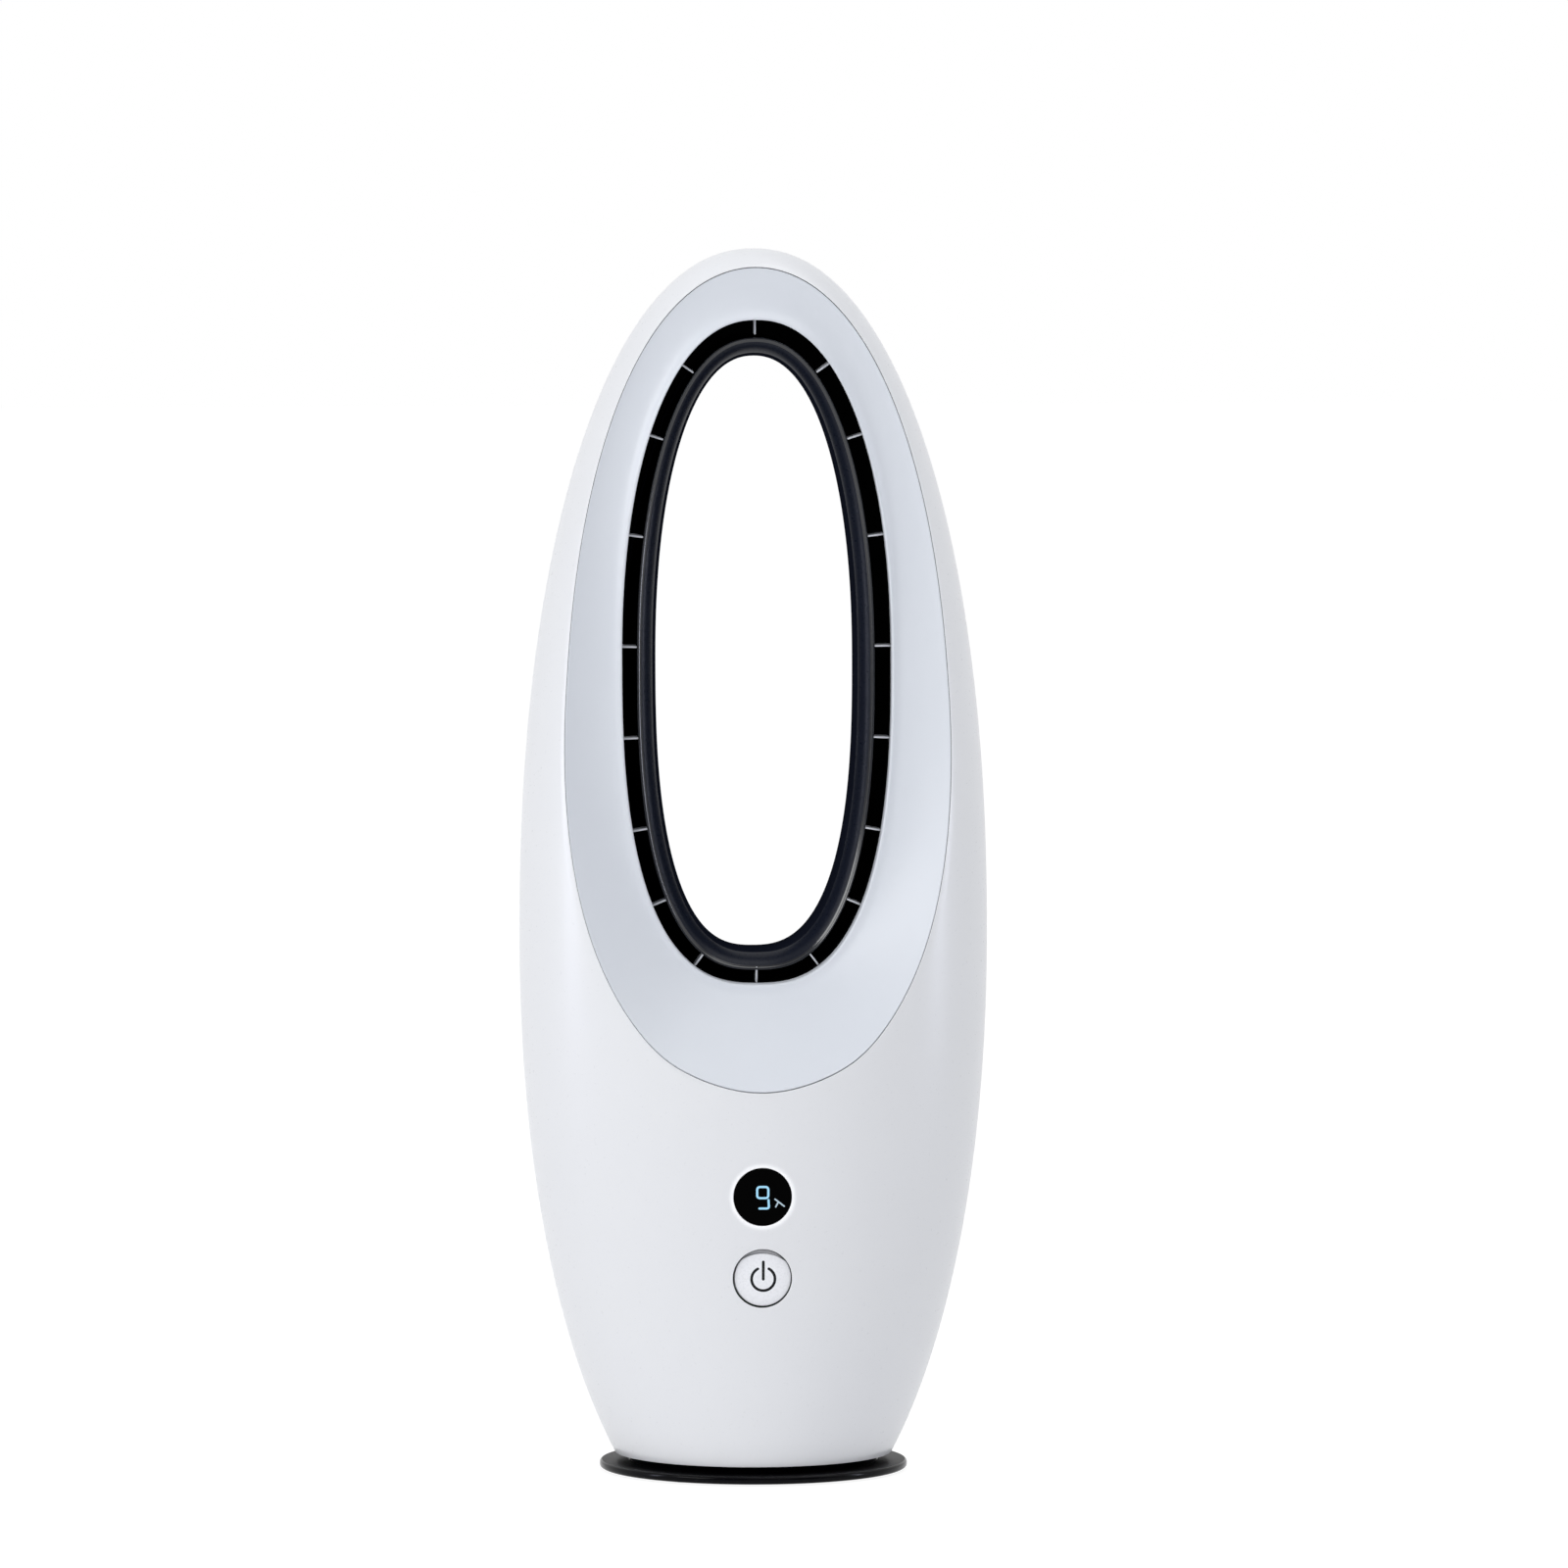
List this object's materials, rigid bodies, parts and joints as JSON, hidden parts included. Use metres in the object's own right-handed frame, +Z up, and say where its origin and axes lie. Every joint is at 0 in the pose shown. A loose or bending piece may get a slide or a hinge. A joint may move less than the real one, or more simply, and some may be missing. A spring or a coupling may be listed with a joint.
{
  "type": "bladeless fan",
  "caption": "Upright egg-shaped bladeless fan with a tall oval air ring, dished face panel, round display and power button, on a swivelling disc base.",
  "frame": {"origin": "on the floor, under the swivel axis at the centre of the round base", "axes": "+Z up, the face with the display and button looks along -Y, +X to the right seen from the front"},
  "size_m": [0.225, 0.1597, 0.5888],
  "materials": {
    "shell_white": "gloss white moulded ABS",
    "panel_grey": "satin pale grey moulded ABS",
    "duct_black": "gloss blue-black moulded ABS",
    "vane_grey": "moulded grey ABS",
    "base_black": "gloss black moulded ABS",
    "lens_black": "smoked polycarbonate",
    "button_white": "gloss white moulded ABS",
    "grille_white": "satin white moulded ABS",
    "gland_grey": "moulded nylon",
    "foot_rubber": "moulded rubber",
    "steel": "zinc plated steel",
    "gear_nylon": "natural acetal",
    "inner_plastic": "moulded PP",
    "impeller_grey": "glass filled nylon",
    "magnet_ferrite": "bonded ferrite",
    "winding_copper": "enamelled copper wire",
    "board_green": "glass epoxy laminate",
    "seal_foam": "closed cell foam"
  },
  "bodies": {
    "base": {"base_plate": "base_black", "ballast_plate": "steel", "base_cover": "base_black", "rubber_feet": "foot_rubber", "base_screws": "steel", "pivot_post": "steel", "post_screws": "steel", "swivel_ring": "gear_nylon", "retaining_washer": "steel", "drive_gear": "gear_nylon", "post_nut": "steel"},
    "fan_body": {"front_shell": "shell_white", "rear_shell": "shell_white", "face_panel": "panel_grey", "inner_duct": "duct_black", "outlet_vanes": "vane_grey", "intake_grille": "grille_white", "cord_gland": "gland_grey", "case_screws": "steel", "chassis_plate": "inner_plastic", "chassis_screws": "steel", "oscillation_bracket": "steel", "oscillation_motor": "steel", "motor_screws": "steel", "fan_housing": "inner_plastic", "motor_bracket": "steel", "motor_bearings": "steel", "motor_stator": "steel", "motor_windings": "winding_copper", "tail_cone": "inner_plastic", "baffle_plate": "inner_plastic", "baffle_screws": "steel", "plenum_seal": "seal_foam", "display_window": "lens_black", "display_module": "inner_plastic", "infrared_receiver": "inner_plastic", "control_board": "board_green", "board_screws": "steel", "tact_switch": "inner_plastic", "power_board": "board_green", "power_screws": "steel", "power_components": "inner_plastic"},
    "impeller_rotor": {"impeller": "impeller_grey", "impeller_nut": "steel", "motor_shaft": "steel", "rotor_cup": "steel", "magnet_ring": "magnet_ferrite"},
    "swing_pinion": {"pinion": "gear_nylon"},
    "button": {"power_button": "button_white", "switch_plunger": "inner_plastic"}
  },
  "joints": [
    {"name": "oscillation", "type": "hinge", "parent": "base", "child": "fan_body", "pos_m": [0, 0, 0.0095], "axis": [0, 0, 1], "range_deg": [-45, 45]},
    {"name": "pinion_spin", "type": "hinge", "parent": "fan_body", "child": "swing_pinion", "pos_m": [0.0375, 0, 0.018], "axis": [0, 0, 1], "range_deg": [-180, 180]},
    {"name": "impeller_spin", "type": "hinge", "parent": "fan_body", "child": "impeller_rotor", "pos_m": [0, 0, 0.076], "axis": [0, 0, 1], "continuous": true},
    {"name": "power_press", "type": "slide", "parent": "fan_body", "child": "button", "axis": [0, 1, 0], "range_m": [0, 0.0008], "stiffness_N_per_m": 600}
  ],
  "couplings": [
    {"joint": "pinion_spin", "follows": "oscillation", "ratio": 4}
  ]
}
